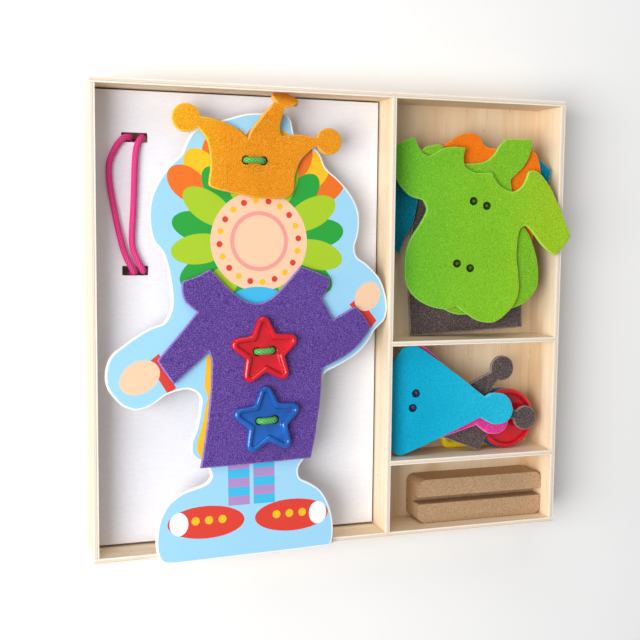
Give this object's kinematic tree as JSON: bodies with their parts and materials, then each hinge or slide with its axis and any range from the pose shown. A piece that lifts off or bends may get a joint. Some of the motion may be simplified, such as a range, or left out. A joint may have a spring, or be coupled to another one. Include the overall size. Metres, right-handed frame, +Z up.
{
  "type": "lacing toy",
  "caption": "Open plywood tray with compartments holding a flat wooden figure to dress by lacing: felt clothes and hats, plastic buttons, laces and a slotted stand.",
  "frame": {"origin": "middle of the tray's underside", "axes": "+X to the right across the tray, +Y towards the figure's head, +Z up out of the open tray"},
  "size_m": [0.2838, 0.2595, 0.0413],
  "materials": {
    "plywood": "bare sanded plywood",
    "white_card": "uncoated white card",
    "pink_lace": "braided",
    "green_lace": "braided",
    "printed_board": "printed and lacquered, white sides",
    "purple_felt": "pressed felt",
    "orange_felt": "pressed felt",
    "charcoal_felt": "pressed felt",
    "teal_felt": "pressed felt",
    "green_felt": "pressed felt",
    "pink_felt": "pressed felt",
    "blue_felt": "pressed felt",
    "red_plastic": "moulded, glossy",
    "blue_plastic": "moulded, glossy",
    "yellow_plastic": "moulded, glossy",
    "fibreboard": "bare fibreboard"
  },
  "bodies": {
    "box": {"box_base": "plywood", "wall_left": "plywood", "wall_right": "plywood", "wall_back": "plywood", "wall_front": "plywood", "divider_long": "plywood", "divider_upper": "plywood", "divider_lower": "plywood"},
    "card": {"card_insert": "white_card", "lace_pink": "pink_lace"},
    "figure": {"figure_board": "printed_board"},
    "worn_coat": {"felt_coat_purple": "purple_felt"},
    "worn_red_star": {"star_button_red": "red_plastic", "lace_green_red_star": "green_lace"},
    "worn_blue_star": {"star_button_blue": "blue_plastic", "lace_green_blue_star": "green_lace"},
    "worn_hat": {"felt_jester_hat_orange": "orange_felt", "lace_green_hat": "green_lace"},
    "charcoal_coat": {"felt_coat_charcoal": "charcoal_felt"},
    "teal_coat": {"felt_coat_teal": "teal_felt"},
    "orange_vest": {"felt_vest_orange": "orange_felt"},
    "lower_green_suit": {"felt_suit_green_lower": "green_felt"},
    "upper_green_suit": {"felt_suit_green_upper": "green_felt"},
    "yellow_round": {"round_button_yellow": "yellow_plastic"},
    "yellow_square": {"square_button_yellow": "yellow_plastic"},
    "blue_round": {"round_button_blue": "blue_plastic"},
    "red_round": {"round_button_red": "red_plastic"},
    "charcoal_hat": {"felt_jester_hat_charcoal": "charcoal_felt"},
    "pink_hat": {"felt_cone_hat_pink": "pink_felt"},
    "blue_hat": {"felt_cone_hat_blue": "blue_felt"},
    "stand": {"stand_block": "fibreboard"}
  },
  "joints": [
    {"name": "card_lift", "type": "slide", "parent": "box", "child": "card", "axis": [0, 0, 1], "range_m": [0, 0.06]},
    {"name": "figure_lift", "type": "slide", "parent": "card", "child": "figure", "axis": [0, 0, 1], "range_m": [0, 0.06]},
    {"name": "worn_coat_lift", "type": "slide", "parent": "figure", "child": "worn_coat", "axis": [0, 0, 1], "range_m": [0, 0.04], "deforming": ["lace_green_red_star", "lace_green_blue_star"]},
    {"name": "worn_red_star_lift", "type": "slide", "parent": "worn_coat", "child": "worn_red_star", "axis": [0, 0, 1], "range_m": [0, 0.03], "deforming": ["lace_green_red_star"]},
    {"name": "worn_blue_star_lift", "type": "slide", "parent": "worn_coat", "child": "worn_blue_star", "axis": [0, 0, 1], "range_m": [0, 0.03], "deforming": ["lace_green_blue_star"]},
    {"name": "worn_hat_lift", "type": "slide", "parent": "figure", "child": "worn_hat", "axis": [0, 0, 1], "range_m": [0, 0.04], "deforming": ["lace_green_hat"]},
    {"name": "charcoal_coat_lift", "type": "slide", "parent": "box", "child": "charcoal_coat", "axis": [0, 0, 1], "range_m": [0, 0.06]},
    {"name": "teal_coat_lift", "type": "slide", "parent": "charcoal_coat", "child": "teal_coat", "axis": [0, 0, 1], "range_m": [0, 0.04]},
    {"name": "orange_vest_lift", "type": "slide", "parent": "teal_coat", "child": "orange_vest", "axis": [0, 0, 1], "range_m": [0, 0.04]},
    {"name": "lower_green_suit_lift", "type": "slide", "parent": "orange_vest", "child": "lower_green_suit", "axis": [0, 0, 1], "range_m": [0, 0.04]},
    {"name": "upper_green_suit_lift", "type": "slide", "parent": "lower_green_suit", "child": "upper_green_suit", "axis": [0, 0, 1], "range_m": [0, 0.04]},
    {"name": "yellow_round_lift", "type": "slide", "parent": "box", "child": "yellow_round", "axis": [0, 0, 1], "range_m": [0, 0.06]},
    {"name": "yellow_square_lift", "type": "slide", "parent": "yellow_round", "child": "yellow_square", "axis": [0, 0, 1], "range_m": [0, 0.04]},
    {"name": "blue_round_lift", "type": "slide", "parent": "yellow_square", "child": "blue_round", "axis": [0, 0, 1], "range_m": [0, 0.04]},
    {"name": "red_round_lift", "type": "slide", "parent": "blue_round", "child": "red_round", "axis": [0, 0, 1], "range_m": [0, 0.04]},
    {"name": "charcoal_hat_lift", "type": "slide", "parent": "red_round", "child": "charcoal_hat", "axis": [0, 0, 1], "range_m": [0, 0.04]},
    {"name": "pink_hat_lift", "type": "slide", "parent": "charcoal_hat", "child": "pink_hat", "axis": [0, 0, 1], "range_m": [0, 0.04]},
    {"name": "blue_hat_lift", "type": "slide", "parent": "pink_hat", "child": "blue_hat", "axis": [0, 0, 1], "range_m": [0, 0.04]},
    {"name": "stand_lift", "type": "slide", "parent": "box", "child": "stand", "axis": [0, 0, 1], "range_m": [0, 0.06]}
  ]
}
